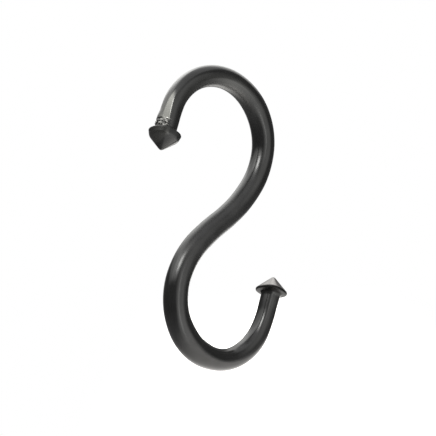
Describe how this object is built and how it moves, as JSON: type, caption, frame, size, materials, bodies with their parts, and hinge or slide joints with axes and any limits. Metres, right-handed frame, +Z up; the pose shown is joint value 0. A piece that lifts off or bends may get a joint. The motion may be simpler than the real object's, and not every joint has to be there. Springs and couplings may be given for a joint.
{
  "type": "s hook",
  "caption": "Forged black steel S hook of round bar, open loops facing opposite ways, ends drawn thinner to pointed square heads, for hanging things from a rail.",
  "frame": {"origin": "inner top of the upper loop, where the hook bears on the rail that it hangs from", "axes": "+Z up along the hook's length, XZ is the plane of both loops, +Y square to that plane; the upper loop opens to -X and the lower loop to +X"},
  "size_m": [0.055, 0.0098, 0.1028],
  "materials": {
    "blackened_steel": "semi-gloss black, forged and waxed"
  },
  "bodies": {
    "root": {"s_hook": "blackened_steel"}
  },
  "joints": []
}
